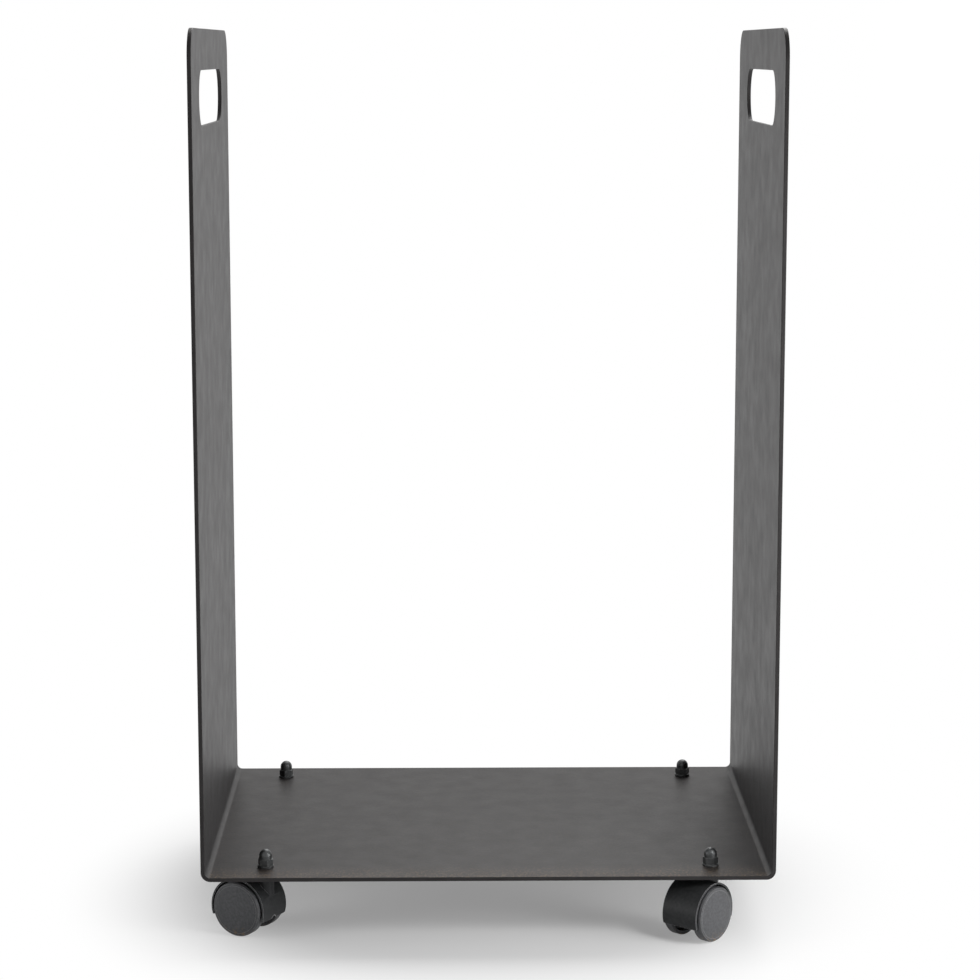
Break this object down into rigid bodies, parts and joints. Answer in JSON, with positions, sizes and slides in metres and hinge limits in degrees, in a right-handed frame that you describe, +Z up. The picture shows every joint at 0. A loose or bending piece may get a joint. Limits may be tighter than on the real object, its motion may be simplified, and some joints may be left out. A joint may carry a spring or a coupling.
{
  "type": "fireside log cart",
  "caption": "Log cart of bent steel sheet, U-shaped and open at the front, back and top, with a hand slot near the top of each side, on hooded swivel castors.",
  "frame": {"origin": "on the floor, under the middle of the cart", "axes": "+X to the right, +Y from the open front to the back, +Z up"},
  "size_m": [0.42, 0.324, 0.663],
  "materials": {
    "powder_coat": "matt fine-textured anthracite powder coat",
    "housing_plastic": "matt moulded charcoal plastic",
    "wheel_plastic": "matt moulded grey plastic",
    "bright_steel": "zinc-plated steel",
    "dark_steel": "blackened steel"
  },
  "bodies": {
    "cart": {"sheet_body": "powder_coat", "front_left_stem": "bright_steel", "front_left_retaining_clip": "bright_steel", "front_left_washer": "dark_steel", "front_left_cap_nut": "dark_steel", "front_right_stem": "bright_steel", "front_right_retaining_clip": "bright_steel", "front_right_washer": "dark_steel", "front_right_cap_nut": "dark_steel", "back_left_stem": "bright_steel", "back_left_retaining_clip": "bright_steel", "back_left_washer": "dark_steel", "back_left_cap_nut": "dark_steel", "back_right_stem": "bright_steel", "back_right_retaining_clip": "bright_steel", "back_right_washer": "dark_steel", "back_right_cap_nut": "dark_steel"},
    "front_left_castor": {"front_left_castor_housing": "housing_plastic", "front_left_axle": "bright_steel"},
    "front_left_left_wheel": {"front_left_left_wheel": "wheel_plastic"},
    "front_left_right_wheel": {"front_left_right_wheel": "wheel_plastic"},
    "front_right_castor": {"front_right_castor_housing": "housing_plastic", "front_right_axle": "bright_steel"},
    "front_right_left_wheel": {"front_right_left_wheel": "wheel_plastic"},
    "front_right_right_wheel": {"front_right_right_wheel": "wheel_plastic"},
    "back_left_castor": {"back_left_castor_housing": "housing_plastic", "back_left_axle": "bright_steel"},
    "back_left_left_wheel": {"back_left_left_wheel": "wheel_plastic"},
    "back_left_right_wheel": {"back_left_right_wheel": "wheel_plastic"},
    "back_right_castor": {"back_right_castor_housing": "housing_plastic", "back_right_axle": "bright_steel"},
    "back_right_left_wheel": {"back_right_left_wheel": "wheel_plastic"},
    "back_right_right_wheel": {"back_right_right_wheel": "wheel_plastic"}
  },
  "joints": [
    {"name": "front_left_swivel", "type": "hinge", "parent": "cart", "child": "front_left_castor", "pos_m": [-0.1645, -0.123, 0.03], "axis": [0, 0, 1], "continuous": true},
    {"name": "front_left_left_wheel_spin", "type": "hinge", "parent": "front_left_castor", "child": "front_left_left_wheel", "pos_m": [-0.17792, -0.11525, 0.0205], "axis": [-0.5, -0.866, 0], "continuous": true},
    {"name": "front_left_right_wheel_spin", "type": "hinge", "parent": "front_left_castor", "child": "front_left_right_wheel", "pos_m": [-0.17792, -0.11525, 0.0205], "axis": [-0.5, -0.866, 0], "continuous": true},
    {"name": "front_right_swivel", "type": "hinge", "parent": "cart", "child": "front_right_castor", "pos_m": [0.1645, -0.123, 0.03], "axis": [0, 0, 1], "continuous": true},
    {"name": "front_right_left_wheel_spin", "type": "hinge", "parent": "front_right_castor", "child": "front_right_left_wheel", "pos_m": [0.15433, -0.1347, 0.0205], "axis": [0.7547, -0.6561, 0], "continuous": true},
    {"name": "front_right_right_wheel_spin", "type": "hinge", "parent": "front_right_castor", "child": "front_right_right_wheel", "pos_m": [0.15433, -0.1347, 0.0205], "axis": [0.7547, -0.6561, 0], "continuous": true},
    {"name": "back_left_swivel", "type": "hinge", "parent": "cart", "child": "back_left_castor", "pos_m": [-0.1645, 0.123, 0.03], "axis": [0, 0, 1], "continuous": true},
    {"name": "back_left_left_wheel_spin", "type": "hinge", "parent": "back_left_castor", "child": "back_left_left_wheel", "pos_m": [-0.15433, 0.1347, 0.0205], "axis": [-0.7547, 0.6561, 0], "continuous": true},
    {"name": "back_left_right_wheel_spin", "type": "hinge", "parent": "back_left_castor", "child": "back_left_right_wheel", "pos_m": [-0.15433, 0.1347, 0.0205], "axis": [-0.7547, 0.6561, 0], "continuous": true},
    {"name": "back_right_swivel", "type": "hinge", "parent": "cart", "child": "back_right_castor", "pos_m": [0.1645, 0.123, 0.03], "axis": [0, 0, 1], "continuous": true},
    {"name": "back_right_left_wheel_spin", "type": "hinge", "parent": "back_right_castor", "child": "back_right_left_wheel", "pos_m": [0.17792, 0.11525, 0.0205], "axis": [0.5, 0.866, 0], "continuous": true},
    {"name": "back_right_right_wheel_spin", "type": "hinge", "parent": "back_right_castor", "child": "back_right_right_wheel", "pos_m": [0.17792, 0.11525, 0.0205], "axis": [0.5, 0.866, 0], "continuous": true}
  ]
}
